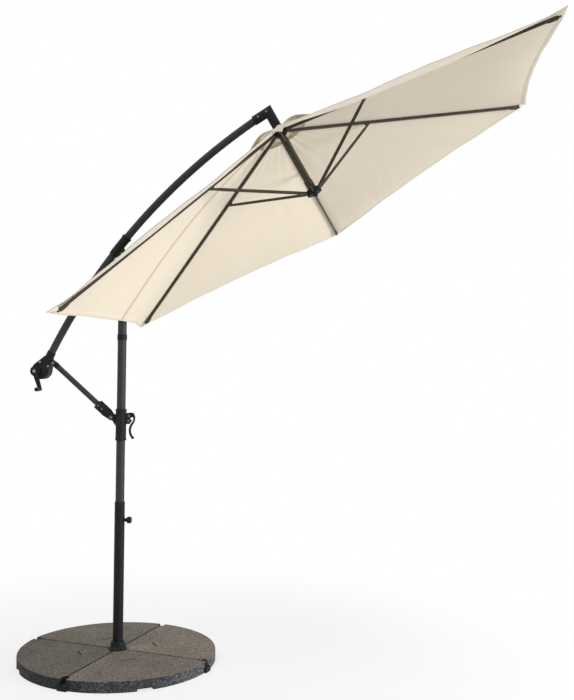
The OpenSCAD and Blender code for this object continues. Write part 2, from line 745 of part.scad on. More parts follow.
module crank_bolt() color(BRIGHT) at_crank() {
    face = -house_t - 24;
    rod_y(3, face - EPS, face + 18);
    rod_y(8, face - 4, face);
}

// ---------- canopy frame ----------

module centre_pole() color(RIB) at_hub() difference() {
    union() {
        translate([0, 0, -pole_end]) cylinder(r = pole_r, h = pole_end + hub_down - pole_tuck);
        translate([0, 0, -pole_end]) cylinder(r = pole_r + 3, h = 46);
    }
    translate([0, 0, -pole_end - 1]) cylinder(r = pole_r - pole_wall, h = pole_end + hub_down);
}

// Slots for the ribs' eyes round the crown, closed above by a disc
module crown_hub() color(PLASTIC) at_hub() difference() {
    union() {
        translate([0, 0, -hub_h / 2]) cylinder(r = hub_r, h = hub_h - 2);
        translate([0, 0, hub_h / 2 - 2]) cylinder(r1 = hub_r, r2 = hub_r - 6, h = 4);
        translate([0, 0, -hub_h / 2 - 10]) cylinder(r = pole_r + 4, h = 11);
    }
    translate([0, 0, -hub_h]) cylinder(r = pole_r, h = 2 * hub_h);
    for (k = [1:SIDES]) rotate([0, 0, rib_turn(k)]) {
        w = stretcher_w + slot_gap;
        translate([pin_ring - eye_r - 1, -w / 2, -hub_h]) cube([hub_r, w, hub_h + eye_r + 1]);
        translate([pin_ring, 0, 0]) rod_y(rib_pin_r, -9, 9);
    }
}

module crown_pins() color(BRIGHT) at_hub() for (k = [1:SIDES]) rotate([0, 0, rib_turn(k)])
    translate([pin_ring, 0, 0]) rod_y(rib_pin_r, -8.5, 8.5);

// Notched disc at the foot of the pole; the stretchers' eyes lie in its notches
module runner() color(PLASTIC) at_hub() translate([0, 0, -runner_down]) difference() {
    union() {
        translate([0, 0, -runner_h / 2]) cylinder(r = hub_r + 1, h = runner_h);
        translate([0, 0, -runner_h / 2 - 10]) cylinder(r1 = 11, r2 = 19, h = 10 + EPS);
        translate([0, 0, -runner_h / 2 - 15]) cylinder(r = 8, h = 6);
    }
    for (k = [1:SIDES]) rotate([0, 0, rib_turn(k)]) {
        w = stretcher_w + slot_gap;
        translate([runner_ring - eye_r - 1, -w / 2, -runner_h]) cube([hub_r, w, 2 * runner_h]);
    }
    translate([0, 0, 2]) cylinder(r = 6, h = runner_h);
}

// Box tube with a flat pierced end, a clip for the stretcher and a rounded tip
module rib(k) color(RIB) at_rib(k) difference() {
    union() {
        translate([24, -rib_w / 2, -rib_h / 2]) cube([rib_l - 24 - 14, rib_w, rib_h]);
        along_y(-stretcher_w / 2, stretcher_w / 2) {
            circle(r = eye_r);
            polygon([[0, -eye_r], [26, -rib_h / 2], [26, rib_h / 2], [0, eye_r]]);
        }
        // clip
        for (s = [-1, 1]) scale([1, s, 1]) along_y(stretcher_w / 2 + side_gap, stretcher_w / 2 + side_gap + 2.5) {
            translate([clip_at, -clip_down]) circle(r = 6);
            polygon([[clip_at - 6, -clip_down], [clip_at + 6, -clip_down], [clip_at + 18, -rib_h / 2 + 1],
                [clip_at + 18, rib_h / 2 - 4], [clip_at - 18, rib_h / 2 - 4], [clip_at - 18, -rib_h / 2 + 1]]);
        }
        translate([clip_at, 0, -clip_down]) rod_y(rib_pin_r, -stretcher_w / 2 - side_gap - 3,
            stretcher_w / 2 + side_gap + 3);
        // tip
        translate([rib_l - 14 - EPS, -rib_w / 2 + 1, -rib_h / 2 + 2]) cube([14 - 5, rib_w - 2, rib_h - 4]);
        translate([rib_l - 6, 0, 0]) rotate([90, 0, 0]) cylinder(r = 6, h = rib_w - 2, center = true);
        along_y(-rib_w / 2 - 1, rib_w / 2 + 1) polygon([[rib_l - 72, -rib_h / 2 + 1], [rib_l - 54, -rib_h / 2 - 4],
            [rib_l - 20, -rib_h / 2 - 4], [rib_l - 11, -rib_h / 2 + 1], [rib_l - 11, rib_h / 2 - 0.5],
            [rib_l - 72, rib_h / 2 - 0.5]]);
    }
    translate([40, -rib_w / 2 + 1.5, -rib_h / 2 + 1.5]) cube([rib_l - 60, rib_w - 3, rib_h - 3]);
    rod_y(rib_pin_r + running, -20, 20);
}

// Flat oval link from the rib's clip to the runner
module stretcher(k) color(RIB) at_hub() rotate([0, 0, rib_turn(k)])
    translate([clip_x, 0, clip_z]) rotate([0, 180 - stretcher_lean, 0]) rotate([180, 0, 0])
        difference() {
            along_y(-stretcher_w / 2, stretcher_w / 2) {
                circle(r = 5.5);
                translate([stretcher_l, 0]) circle(r = eye_r - 0.5);
                polygon([[0, -5], [0, 5], [46, stretcher_h / 2], [stretcher_l - 30, stretcher_h / 2],
                    [stretcher_l, eye_r - 1], [stretcher_l, 1 - eye_r],
                    [stretcher_l - 30, -stretcher_h / 2], [46, -stretcher_h / 2]]);
            }
            rod_y(rib_pin_r + running, -20, 20);
            translate([60, -stretcher_w / 2 + 1.5, -stretcher_h / 2 - 1])
                cube([stretcher_l - 110, stretcher_w - 3, stretcher_h - 0.5]);
        }

// ---------- canopy fabric ----------

// Distance from the pole to the rim, seen from above, at an angle from the rib
function rim_at(t) = (apothem - rim_hollow * (1 - (tan(HALF - abs(t)) / tan(HALF)) ^ 2)) / cos(HALF - abs(t));

// How strongly the post bends the fabric in at a point: fully at the rim over it, not at all at the ribs
function bend_at(k, t, u) =
    let (toward = max(0, k == 1 ? -t / HALF : k == SIDES ? t / HALF : 0))
    u * toward ^ 2 * (3 - 2 * toward);

// How deep the fabric sags at a point: most between the ribs, little where the post holds it
function sag_at(k, t, u) =
    let (side = abs(t) / HALF, held = bend_at(k, t, 1) > 0 ? 0.3 : 1)
    canopy_sag * held * sin(180 * u ^ 1.3) * (1 - (1 - side) ^ 2);

// A point of the fabric of rib k: t is the angle from the rib and u runs from the vent to the rim
function fabric_point(k, t, u, up) =
    let (r = vent_hole + (rim_at(t) - vent_hole) * u,
        b = bend_at(k, t, u),
        drop = tan(rib_slope) * r * cos(HALF - abs(t)) / cos(HALF),
        a = rib_turn(k) + t)
    [(r * cos(a)) + post_bend * b, r * sin(a),
        fabric_up - drop - post_drop * b - sag_at(k, t, u) + up];

// A sheet with thickness over a grid of points, listed row by row on both faces
module sheet(top, bottom, rows, cols) {
    n = rows * cols;
    function at(i, j) = i * cols + j;
    faces_top = [for (i = [0:rows - 2], j = [0:cols - 2], f = [0, 1])
        f == 0 ? [at(i, j), at(i, j + 1), at(i + 1, j + 1)] : [at(i, j), at(i + 1, j + 1), at(i + 1, j)]];
    faces_bottom = [for (f = faces_top) [f[2] + n, f[1] + n, f[0] + n]];
    loop = concat([for (j = [0:cols - 1]) at(0, j)], [for (i = [1:rows - 1]) at(i, cols - 1)],
        [for (j = [cols - 2:-1:0]) at(rows - 1, j)], [for (i = [rows - 2:-1:1]) at(i, 0)]);
    last = len(loop);
    walls = [for (i = [0:last - 1], f = [0, 1]) let (a = loop[i], b = loop[(i + 1) % last])
        f == 0 ? [b, a, a + n] : [b, a + n, b + n]];
    polyhedron(points = concat(top, bottom), faces = concat(faces_top, faces_bottom, walls), convexity = 6);
}

module gore(k) color(FABRIC) at_hub() {
    thick = fabric_t / cos(rib_slope) / 2;
    gap = 0.02;
    grid = [for (i = [0:ROWS - 1], j = [0:RIM_STEPS])
        [i / (ROWS - 1), (j / RIM_STEPS * 2 - 1) * (HALF - gap)]];
    sheet([for (g = grid) fabric_point(k, g[1], g[0], thick)],
        [for (g = grid) fabric_point(k, g[1], g[0], -thick)], ROWS, RIM_STEPS + 1);
}

// A point of the vent cap: it rests on the fabric at its corners and stands off it between them
function vent_point(a, u, up) =
    let (t = abs((a % (2 * HALF)) - HALF),
        off = sin(90 * t / HALF),
        inner = elbow_r + 6,
        edge = vent_r * cos(HALF) / cos(HALF - t) * (1 - 0.04 * off),
        r = inner + (edge - inner) * u,
        drop = tan(rib_slope) * r * cos(HALF - t) / cos(HALF))
    [r * cos(a - 180), r * sin(a - 180), fabric_up - drop + fabric_t + seat + vent_lift * off * u
        + 12 * (1 - u) + up];

VENT_COLS = 48;
VENT_ROWS = 4;
function ring_at(i, j) = i * VENT_COLS + j % VENT_COLS;

module vent_cap() color(FABRIC) at_hub() {
    cols = VENT_COLS;
    rows = VENT_ROWS;
    thick = fabric_t / cos(rib_slope) / 2;
    turns = [for (j = [0:cols - 1]) 360 * j / cols];
    top = [for (i = [0:rows - 1], a = turns) vent_point(a, i / (rows - 1), thick)];
    bottom = [for (i = [0:rows - 1], a = turns) vent_point(a, i / (rows - 1), -thick)];
    n = rows * cols;
    faces_top = [for (i = [0:rows - 2], j = [0:cols - 1], f = [0, 1]) let (a = ring_at(i, j),
        b = ring_at(i, j + 1), c = ring_at(i + 1, j + 1), d = ring_at(i + 1, j)) f == 0 ? [a, b, c] : [a, c, d]];
    faces_bottom = [for (f = faces_top) [f[2] + n, f[1] + n, f[0] + n]];
    walls = [for (j = [0:cols - 1], f = [0:3]) let (a = ring_at(0, j), b = ring_at(0, j + 1),
        c = ring_at(rows - 1, j), d = ring_at(rows - 1, j + 1))
        f == 0 ? [b, a, a + n] : f == 1 ? [b, a + n, b + n] : f == 2 ? [c, d, d + n] : [c, d + n, c + n]];
    polyhedron(points = concat(top, bottom), faces = concat(faces_top, faces_bottom, walls), convexity = 8);
}

cross_frame();
arm_caps();
weight_plate(1);  // weight_plate_1
weight_plate(2);  // weight_plate_2
weight_plate(3);  // weight_plate_3
weight_plate(4);  // weight_plate_4
post_flange();
flange_bolts();
foot_cover();
lower_post();
post_bushes();
upper_post();
post_collar();
post_cap();
boom_pin();
clamp_knob();
slider_sleeve();
lever_bracket();
bracket_bolts();
slider_lever();
strut_tube();
strut_fork();
strut_channel();
channel_bolts();
boom_tube();
boom_saddle();
housing_half(-1);  // housing_left
housing_half(1);  // housing_right
housing_screws();
strut_bolt();
elbow();
elbow_bolts();
centre_pole();
crown_hub();
crown_pins();
vent_cap();
cord_drum();
crank_handle();
crank_bolt();
cord_pulley();
runner();
rib(1);  // rib_1
rib(2);  // rib_2
rib(3);  // rib_3
rib(4);  // rib_4
rib(5);  // rib_5
rib(6);  // rib_6
stretcher(1);  // stretcher_1
stretcher(2);  // stretcher_2
stretcher(3);  // stretcher_3
stretcher(4);  // stretcher_4
stretcher(5);  // stretcher_5
stretcher(6);  // stretcher_6
gore(1);  // gore_1
gore(2);  // gore_2
gore(3);  // gore_3
gore(4);  // gore_4
gore(5);  // gore_5
gore(6);  // gore_6
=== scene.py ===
# Cantilever patio umbrella on a four-plate base.
# The fixed frame brings the metalwork; this script paints it, hangs and sews the fabric,
# and sets up a plain studio round it.
import json
import math

import bmesh
import bpy
from mathutils import Matrix, Vector


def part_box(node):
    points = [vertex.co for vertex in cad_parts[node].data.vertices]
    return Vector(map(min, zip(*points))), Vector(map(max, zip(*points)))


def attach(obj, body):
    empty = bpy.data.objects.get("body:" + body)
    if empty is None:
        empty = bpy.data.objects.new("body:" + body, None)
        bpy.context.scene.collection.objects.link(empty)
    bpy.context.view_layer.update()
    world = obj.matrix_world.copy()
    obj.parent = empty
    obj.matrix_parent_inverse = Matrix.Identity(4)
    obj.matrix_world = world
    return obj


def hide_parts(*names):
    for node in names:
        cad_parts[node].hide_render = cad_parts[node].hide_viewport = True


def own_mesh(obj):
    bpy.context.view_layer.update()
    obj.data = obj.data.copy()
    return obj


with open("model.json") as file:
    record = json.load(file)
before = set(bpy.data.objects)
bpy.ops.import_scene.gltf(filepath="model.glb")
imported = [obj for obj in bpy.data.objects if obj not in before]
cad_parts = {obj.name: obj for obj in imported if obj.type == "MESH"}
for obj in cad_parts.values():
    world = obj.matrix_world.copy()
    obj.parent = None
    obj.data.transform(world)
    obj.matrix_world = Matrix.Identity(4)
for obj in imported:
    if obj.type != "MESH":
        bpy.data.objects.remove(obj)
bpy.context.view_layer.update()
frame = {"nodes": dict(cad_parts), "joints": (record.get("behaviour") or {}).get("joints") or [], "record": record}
nodes = frame["nodes"]
joints = {j["name"]: j for j in frame["joints"]}
scene = bpy.context.scene
scene.view_settings.view_transform = "Standard"
print("frame loaded:", len(nodes), "nodes")


# camera

view = {
    "place": (1.4491, -4.7691, 1.5509),
    "yaw": -0.1238,
    "pitch": 0.0097,
    "roll": 0.0127,
    "lens": 49.08,
}


def setCamera(cfg):
    yaw, pitch, roll = cfg["yaw"], cfg["pitch"], cfg["roll"]
    ahead = Vector((math.sin(yaw) * math.cos(pitch), math.cos(yaw) * math.cos(pitch), math.sin(pitch)))
    level = ahead.cross(Vector((0, 0, 1))).normalized()
    upright = level.cross(ahead)
    right = level * math.cos(roll) + upright * math.sin(roll)
    up = upright * math.cos(roll) - level * math.sin(roll)
    data = bpy.data.cameras.new("studioCamera")
    data.lens = cfg["lens"]
    data.sensor_width = 36
    data.clip_end = 200
    camera = bpy.data.objects.new("studioCamera", data)
    turn = Matrix((right, up, -ahead)).transposed().to_4x4()
    camera.matrix_world = Matrix.Translation(cfg["place"]) @ turn
    scene.collection.objects.link(camera)
    scene.camera = camera


setCamera(view)


# paint and cloth

class Wire:
    # an output of a node that can be added, multiplied and so on
    def __init__(self, finish, socket):
        self.finish = finish
        self.socket = socket

    def maths(self, operation, first, second=0.0):
        return self.finish.node("ShaderNodeMath", {"operation": operation}, {0: first, 1: second})

    def beside(self, output):
        # another output of the same node
        return Wire(self.finish, self.socket.node.outputs[output])

    def __add__(self, other):
        return self.maths("ADD", self, other)

    def __radd__(self, other):
        return self.maths("ADD", other, self)

    def __sub__(self, other):
        return self.maths("SUBTRACT", self, other)

    def __rsub__(self, other):
        return self.maths("SUBTRACT", other, self)

    def __mul__(self, other):
        return self.maths("MULTIPLY", self, other)

    def __rmul__(self, other):
        return self.maths("MULTIPLY", other, self)


class Finish:
    # one material: a Principled shader and what feeds it
    def __init__(self, name, **fixed):
        self.material = bpy.data.materials.new(name)
        self.material.use_nodes = True
        self.tree = self.material.node_tree
        self.shader = self.tree.nodes["Principled BSDF"]
        self.place = self.node("ShaderNodeTexCoord", output="Object")
        for socket, value in fixed.items():
            self.feed(self.shader.inputs[socket.replace("_", " ")], value)

    def feed(self, socket, value):
        if isinstance(value, Wire):
            self.tree.links.new(value.socket, socket)
        else:
            socket.default_value = value

    def node(self, kind, settings=None, inputs=None, output=0):
        made = self.tree.nodes.new(kind)
        for key, value in (settings or {}).items():
            setattr(made, key, value)
        for key, value in (inputs or {}).items():
            self.feed(made.inputs[key], value)
        return Wire(self, made.outputs[output])

    def noise(self, scale, detail=2.0, rough=0.5):
        return self.node("ShaderNodeTexNoise", None,
                         {"Vector": self.place, "Scale": scale, "Detail": detail, "Roughness": rough})

    def streaks(self, scales, detail=2.0, rough=0.5, where=None):
        # noise with its own scale along each axis
        drawn = self.node("ShaderNodeMapping", None, {"Vector": where or self.place, "Scale": scales})
        return self.node("ShaderNodeTexNoise", None,
                         {"Vector": drawn, "Scale": 1, "Detail": detail, "Roughness": rough})

    def step(self, value, low, high):
        # 0 on the low side, 1 on the high side and soft between; high may be the smaller
        return self.node("ShaderNodeMapRange", {"interpolation_type": "SMOOTHSTEP"},
                         {"Value": value, "From Min": low, "From Max": high})

    def mix(self, amount, first, second, blend="MIX"):
        # sockets 6 and 7 are the node's two colours, and its third output is the mixed one
        below, above = [c if isinstance(c, Wire) else (*c, 1) for c in (first, second)]
        return self.node("ShaderNodeMix", {"data_type": "RGBA", "blend_type": blend, "clamp_factor": True},
                         {0: amount, 6: below, 7: above}, 2)

    def bump(self, height, distance, strength=1.0, over=None):
        inputs = {"Height": height, "Distance": distance, "Strength": strength}
        if over is not None:
            inputs["Normal"] = over
        return self.node("ShaderNodeBump", None, inputs)

    def soften(self, radius):
        # rounds the light on sharp edges, in metres
        return self.node("ShaderNodeBevel", {"samples": 4}, {"Radius": radius})

    def give(self, **links):
        for socket, value in links.items():
            self.feed(self.shader.inputs[socket.replace("_", " ")], value)
        return self.material


powderCoat = {
    "colour": (0.024, 0.025, 0.026),
    "pale": (0.036, 0.037, 0.037),
    "worn": (0.11, 0.11, 0.115),
    "rough": 0.42,
    "shine": 0.24,
    "cloud": 9,  # this and the next three are sizes of grain, more to the metre the higher
    "scuff": 160,
    "scuffPatch": 7,
    "peel": 1400,
    "edge": 0.0012,
}
# painted shade: the lower post and its flange get a darker coat than the upper post, for the shade near the ground
shadedLowerCoat = dict(powderCoat, colour=(0.009, 0.009, 0.011), pale=(0.016, 0.015, 0.017), rough=0.46, shine=0.14)
ribPaint = dict(powderCoat, colour=(0.052, 0.042, 0.032), pale=(0.085, 0.070, 0.056), shine=0.25)


def makePowderCoat(name, cfg):
    paint = Finish(name, Metallic=0.0, IOR=1.5, Specular_IOR_Level=cfg["shine"])
    cloud = paint.noise(cfg["cloud"], 3, 0.6)
    patch = paint.step(paint.noise(cfg["scuffPatch"], 2), 0.5, 0.62)
    scuff = paint.step(paint.noise(cfg["scuff"], 5, 0.7), 0.66, 0.74) * patch
    peel = paint.noise(cfg["peel"], 1.5)
    tone = paint.mix(cloud * 0.5, cfg["colour"], cfg["pale"])
    return paint.give(
        Base_Color=paint.mix(scuff * 0.25, tone, cfg["worn"]),
        Roughness=cfg["rough"] + cloud * 0.1 + scuff * 0.12,
        Normal=paint.bump(peel, 0.0004, 0.35, paint.soften(cfg["edge"])),
    )


moulding = {
    "colour": (0.007, 0.008, 0.009),
    "pale": (0.014, 0.015, 0.017),
    "rough": 0.44,
    "grain": 1900,
    "cloud": 26,
    "edge": 0.0012,
}


def makeMoulding(name, cfg):
    plastic = Finish(name, IOR=1.46, Specular_IOR_Level=0.2)
    grain = plastic.noise(cfg["grain"], 2, 0.6)
    cloud = plastic.noise(cfg["cloud"], 4, 0.65)
    return plastic.give(
        Base_Color=plastic.mix(plastic.step(cloud, 0.4, 0.75) * 0.7, cfg["colour"], cfg["pale"]),
        Roughness=cfg["rough"] + grain * 0.12 + cloud * 0.08,
        Normal=plastic.bump(grain, 0.0005, 0.45, plastic.soften(cfg["edge"])),
    )


zinc = {
    "colour": (0.50, 0.51, 0.52),
    "dull": (0.32, 0.325, 0.33),
    "rough": 0.3,
    "bloom": 240,
    "drawn": (300, 2600, 300),
    "edge": 0.0006,
}
wornZinc = dict(zinc, colour=(0.34, 0.345, 0.35), dull=(0.22, 0.225, 0.23), rough=0.36)
dullZinc = dict(zinc, colour=(0.17, 0.172, 0.18), dull=(0.10, 0.10, 0.105), rough=0.42)


def makeZinc(name, cfg):
    metal = Finish(name, Metallic=1.0)
    bloom = metal.noise(cfg["bloom"], 4, 0.6)
    lines = metal.streaks(cfg["drawn"])
    return metal.give(
        Base_Color=metal.mix(metal.step(bloom, 0.35, 0.7), cfg["colour"], cfg["dull"]),
        Roughness=cfg["rough"] + bloom * 0.2,
        Normal=metal.bump(lines, 0.0002, 0.3, metal.soften(cfg["edge"])),
    )


castStone = {
    "top": (0.157, 0.138, 0.107),
    "topDark": (0.062, 0.055, 0.048),
    "topPale": (0.33, 0.31, 0.275),
    "side": (0.030, 0.031, 0.036),
    "sideDark": (0.010, 0.010, 0.013),
    "sidePale": (0.15, 0.15, 0.16),
    "stain": (0.17, 0.14, 0.11),
    "stainPatch": 5,
    "chip": 210,  # chips to the metre, roughly
    "paintedSideLight": (0.4, 0.6, 1.2),  # painted shade and light on the sides, darker at the left and paler at the right: the level at the left, and what the middle and the right add
    "sideLightMiddle": (-0.12, 0.1),  # where the middle's share comes in, left to right
    "sideLightRight": (0.28, 0.5),
    "edge": 0.003,
}


def makeStone(name, cfg, topLightLevel):
    # painted light: how much paler this plate's top is painted, by where the plate stands
    stone = Finish(name, IOR=1.5, Specular_IOR_Level=0.35)
    blocks = stone.node("ShaderNodeTexVoronoi", {"feature": "F1"},
                        {"Vector": stone.place, "Scale": cfg["chip"]}, "Color")
    pickDark = stone.node("ShaderNodeSeparateColor", None, {"Color": blocks})
    pickPale = pickDark.beside("Green")
    facing = stone.node("ShaderNodeNewGeometry", None, None, "Normal")
    onTop = stone.step(stone.node("ShaderNodeSeparateXYZ", None, {0: facing}, "Z"), 0.25, 0.75)
    fine = stone.noise(cfg["chip"] * 5, 3, 0.7)
    broad = stone.noise(cfg["stainPatch"], 3, 0.55)
    dark = stone.step(pickDark, 0.62, 0.72)
    pale = stone.step(pickPale, 0.60 + 0.12 * onTop, 0.74 + 0.08 * onTop)
    # painted light: the sides are painted much darker and bluer than the top as painted shade, and the top's warm
    # brown is a painted reflection of the canopy
    darkTone = stone.mix(onTop, cfg["sideDark"], cfg["topDark"])
    paleTone = stone.mix(onTop, cfg["sidePale"], cfg["topPale"])
    face = stone.mix(onTop, cfg["side"], cfg["top"])
    face = stone.mix(dark * 0.55, face, darkTone)
    face = stone.mix(pale * 0.6, face, paleTone)
    face = stone.mix(stone.step(fine, 0.35, 0.7) * 0.35, face, darkTone)
    face = stone.mix(stone.step(broad, 0.35, 0.7) * 0.25, face, cfg["stain"], "MULTIPLY")
    across = stone.node("ShaderNodeSeparateXYZ", None, {0: stone.place})
    # painted light: the sides are painted darker at the left and paler at the right, and each top paler by where
    # its plate stands
    left, middle, right = cfg["paintedSideLight"]
    paintedSideLight = (left + middle * stone.step(across, *cfg["sideLightMiddle"])
             + right * stone.step(across, *cfg["sideLightRight"]))
    paintedLightLevel = paintedSideLight + onTop * (topLightLevel - paintedSideLight)
    shade = stone.node("ShaderNodeCombineColor", None, {channel: paintedLightLevel for channel in range(3)})
    face = stone.mix(1.0, face, shade, "MULTIPLY")
    pits = fine * 0.6 + stone.noise(cfg["chip"] * 1.6, 2) * (1.4 - onTop)
    return stone.give(
        Base_Color=face,
        Roughness=0.78 + fine * 0.16 - pale * 0.15,
        Normal=stone.bump(pits, 0.0012, 0.6, stone.soften(cfg["edge"])),
    )


cloth = {
    "colour": (0.88, 0.79, 0.64),
    "shade": (0.80, 0.705, 0.56),
    "hem": (0.70, 0.635, 0.52),
    "edge": (0.36, 0.34, 0.31),  # painted shade along the hem's outer fold
    "thread": (0.93, 0.88, 0.78),
    "weave": 0.0011,  # one wave of the threads, in metres
    "stitch": 0.0035,
    "stitchRows": (0.0185, 0.004),  # how far in from the rim
    "stitchWide": (0.0009, 0.0004),  # where a row fades out, and where it is full
    "hemEnd": (0.0235, 0.0215),
    "rimShadeEnd": (0.0034, 0.0024),
    "slub": (900, 30, 1),
    "crossSlub": (30, 900, 1),
    "crease": (14, 2.5, 1),
    "cloud": 2.2,
}
# painted shade: the tuck's cloth is painted darker, as the shadow line along its fold
shadedTuckCloth = dict(cloth, colour=(0.63, 0.545, 0.44), shade=(0.57, 0.49, 0.395))


def makeCloth(name, cfg, through=0.0):
    # the piece's own map runs in metres: across from the rib, and up from the rim
    fabric = Finish(name, IOR=1.45, Sheen_Weight=0.15, Sheen_Roughness=0.5, Roughness=0.85,
                    Subsurface_Weight=through, Subsurface_Radius=(1.0, 1.0, 1.0), Subsurface_Scale=0.004)
    cut = fabric.node("ShaderNodeUVMap", {"uv_map": "cut"})
    across = fabric.node("ShaderNodeSeparateXYZ", None, {0: cut})
    along = across.beside("Y")

    def waves(value, pitch):
        return across.maths("SINE", value * (2 * math.pi / pitch))

    warp, weft = waves(across, cfg["weave"]), waves(along, cfg["weave"])
    weave = across.maths("MAXIMUM", warp * (weft + 0.2), weft * (warp - 0.2) * -1)
    slub = fabric.streaks(cfg["slub"], 3, 0.6, cut)
    cross = fabric.streaks(cfg["crossSlub"], 3, 0.6, cut)
    crease = fabric.streaks(cfg["crease"], 3, 0.55, cut)
    cloud = fabric.noise(cfg["cloud"], 3, 0.55)
    hem = fabric.step(along, *cfg["hemEnd"])
    outer, inner = [fabric.step(across.maths("ABSOLUTE", along - at), *cfg["stitchWide"])
                    for at in cfg["stitchRows"]]
    stitches = across.maths("MAXIMUM", outer, inner) * fabric.step(waves(across, cfg["stitch"]), -0.35, 0.1)
    tone = fabric.mix(cloud * 0.6 + (slub + cross) * 0.12, cfg["colour"], cfg["shade"])
    tone = fabric.mix(hem * 0.3, tone, cfg["hem"])
    # painted shade: a dark band painted along the rim, on the hem's outer fold
    tone = fabric.mix(fabric.step(along, *cfg["rimShadeEnd"]) * 0.7, tone, cfg["edge"])
    tone = fabric.mix(stitches * 0.7, tone, cfg["thread"])
    woven = fabric.bump(weave * 0.25 + slub * 0.3 + cross * 0.3, 0.0001, 0.15)
    stitched = fabric.bump(stitches - outer * 0.5 - inner * 0.5, 0.0008, 0.6, woven)
    return fabric.give(
        Base_Color=tone,
        Roughness=0.8 + cloud * 0.1,
        Normal=fabric.bump(crease, 0.012, 0.25, stitched),
    )


finishes = {
    "painted_steel": makePowderCoat("charcoalPowderCoat", powderCoat),
    "black_plastic": makeMoulding("blackMoulding", moulding),
    "zinc_steel": makeZinc("zincPlate", zinc),
    "frame_metal": makePowderCoat("bronzeBlackPaint", ribPaint),
    "canopy_fabric": makeCloth("creamCloth", cloth),
}
# the tuck's darker cloth is painted shade
shadedTuckFinish = makeCloth("creamClothShadedTuck", shadedTuckCloth)
ventFinish = makeCloth("creamClothSunlit", cloth, 0.25)

# painted light on the plates' tops: each top is painted paler the further right and back its plate stands, where
# the lamps fall
paintedTopLight = {
    "pale": 1.055,
    "byRight": 0.86,  # how much paler a metre to the right, and a metre back
    "byBack": 0.45,
}
slotOf = {row["node"]: row["material_slot"] for row in frame["record"]["subparts"]}
ownFinish = {
    # the darker coat on these two is painted shade
    "lower_post": makePowderCoat("lowerPostShadedCoat", shadedLowerCoat),
    "post_flange": makePowderCoat("flangeShadedCoat", shadedLowerCoat),
}
for name in ("elbow_bolts", "channel_bolts", "bracket_bolts", "strut_bolt", "flange_bolts"):
    ownFinish[name] = makeZinc(f"dull_{name}", dullZinc)
for name in ("housing_screws", "crank_bolt"):
    ownFinish[name] = makeZinc(f"worn_{name}", wornZinc)
for name in [n for n in nodes if n.startswith("weight_plate")]:
    low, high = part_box(name)
    x, y = (low[0] + high[0]) / 2, (low[1] + high[1]) / 2
    topLightLevel = paintedTopLight["pale"] + paintedTopLight["byRight"] * x + paintedTopLight["byBack"] * y
    ownFinish[name] = makeStone(f"castStone_{name[-1]}", castStone, topLightLevel)
for name, part in nodes.items():
    part.data.materials.clear()
    part.data.materials.append(ownFinish.get(name) or finishes[slotOf[name]])
print("metalwork painted")


# helpers for new pieces

def addFabric(name, mesh, body, smooth, finish=None):
    piece = bpy.data.objects.new(name, mesh)
    scene.collection.objects.link(piece)
    piece.data.materials.append(finish or finishes["canopy_fabric"])
    bpy.ops.object.select_all(action="DESELECT")
    piece.select_set(True)
    bpy.context.view_layer.objects.active = piece
    bpy.ops.object.shade_smooth_by_angle(angle=math.radians(smooth))
    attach(piece, body)
    return piece


def sheetMesh(name, grid, closed=False):
    # two facing grids of points joined round their edge; each entry of grid is the upper point,
    # the lower point and their place on the cut cloth
    rows, cols = len(grid), len(grid[0])
    spots = [spot for row in grid for spot in row]
    verts = [spot[0] for spot in spots] + [spot[1] for spot in spots]
    cutAt = [spot[2] for spot in spots] * 2
    under = rows * cols
    wide = cols if closed else cols - 1
    faces = []
    for i in range(rows - 1):
        for j in range(wide):
            a, b = i * cols + j, i * cols + (j + 1) % cols
            c, d = b + cols, a + cols
            faces.append((a, d, c, b))
            faces.append((under + a, under + b, under + c, under + d))
    first = list(range(cols))
    last = [(rows - 1) * cols + j for j in reversed(range(cols))]
    for loop in (first, last):
        for j in range(wide):
            a, b = loop[j], loop[(j + 1) % cols]
            faces.append((a, b, b + under, a + under))
    if not closed:
        for i in range(rows - 1):
            a, b = i * cols, (i + 1) * cols
            faces.append((b, a, a + under, b + under))
            a, b = a + cols - 1, b + cols - 1
            faces.append((a, b, b + under, a + under))
    mesh = bpy.data.meshes.new(name)
    mesh.from_pydata(verts, [], faces)
    layer = mesh.uv_layers.new(name="cut")
    for polygon in mesh.polygons:
        for corner in polygon.loop_indices:
            layer.data[corner].uv = cutAt[mesh.loops[corner].vertex_index]
    work = bmesh.new()
    work.from_mesh(mesh)
    bmesh.ops.recalc_face_normals(work, faces=work.faces)
    work.to_mesh(mesh)
    work.free()
    return mesh


# canopy

canopy = {
    "reach": 1.478,  # pole to corner, seen from above
    "slope": math.radians(15),
    "rimHollow": 0.045,
    "ventHole": 0.130,
    "rise": 0.018155,  # of the cloth's peak over the rib pins
    "postPush": 0.093,
    "postPress": 0.090,
    "postIn": 2.0,  # higher keeps the push of the post nearer the rim
    "thick": 0.0014,
    "hemRows": (0.0, 0.0012, 0.010, 0.0212, 0.0224),  # how far in from the rim
    "hemExtra": 0.0009,  # how much thicker the hem is below
    "sag": 0.0245,
    "sagHeld": 0.3,  # share of the sag left where the post holds the cloth
    "sagTaut": 0.54,  # and in the panel between ribs 1 and 2
    "sagOut": 3.0,  # higher puts the deepest sag nearer the rim
    "hemLift": 0.006,  # of the free hems either side of rib 2
    "hemDroop": 0.010,  # of the same hems close to rib 2
    "ripple": 0.0016,
    "curl": (0.018, -0.021, 0.018, 0.003, 0.004, 0.006),  # how far each corner lifts
    "curlLong": 0.09,
    "droopLong": 0.030,
    "rows": 54,
    "cols": 40,  # of half a panel
    "smooth": 38,
}
half = math.radians(30)
pins = [Vector(joints[f"rib_{k}_fold"]["pos_m"]) for k in range(1, 7)]
hub = sum(pins, Vector()) / 6
poleUp = -Vector(joints["runner_slide"]["axis"]).normalized()
poleOut = Vector((0, 1, 0)).cross(poleUp)
